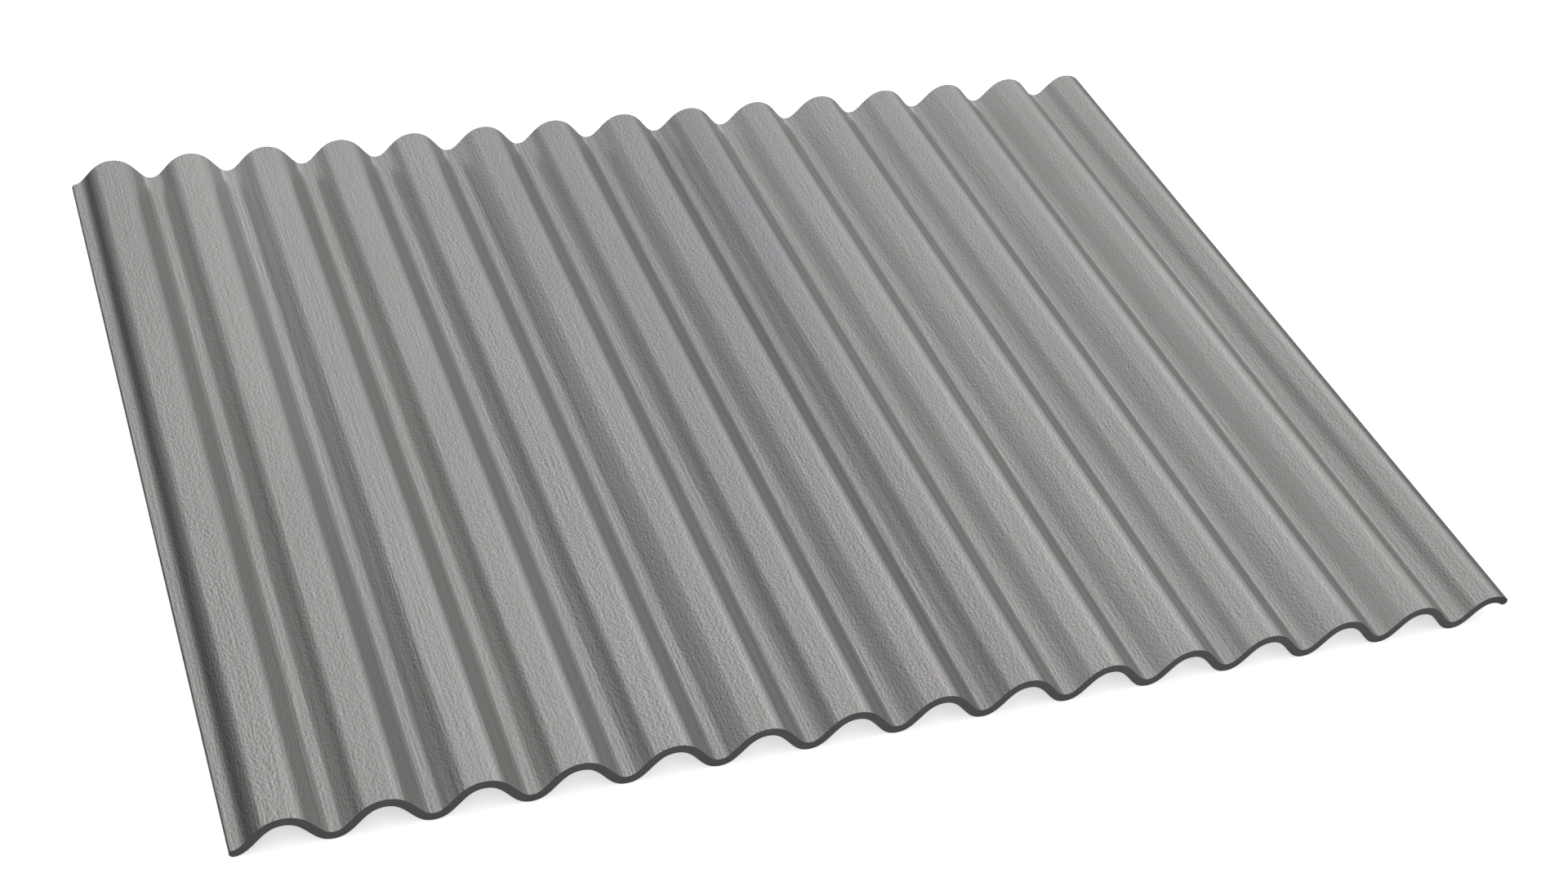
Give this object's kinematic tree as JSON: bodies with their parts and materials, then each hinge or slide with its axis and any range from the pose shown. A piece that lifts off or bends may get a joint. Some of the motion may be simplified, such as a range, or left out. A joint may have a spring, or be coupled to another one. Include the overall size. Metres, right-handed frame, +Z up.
{
  "type": "corrugated zinc sheet",
  "caption": "Rectangular corrugated roofing sheet in dull grey zinc, with even round waves and one pressed-down side edge, lying flat.",
  "frame": {"origin": "under the middle of the sheet, in the plane that its troughs rest on", "axes": "+X across the waves towards the pressed-down side edge, +Y along the waves, +Z up through the weather face"},
  "size_m": [1, 0.8, 0.0287],
  "materials": {
    "zinc": "dull weathered zinc with a fine pebbled grain drawn out along the waves, and darker cut ends"
  },
  "bodies": {
    "root": {"corrugated_sheet": "zinc"}
  },
  "joints": []
}
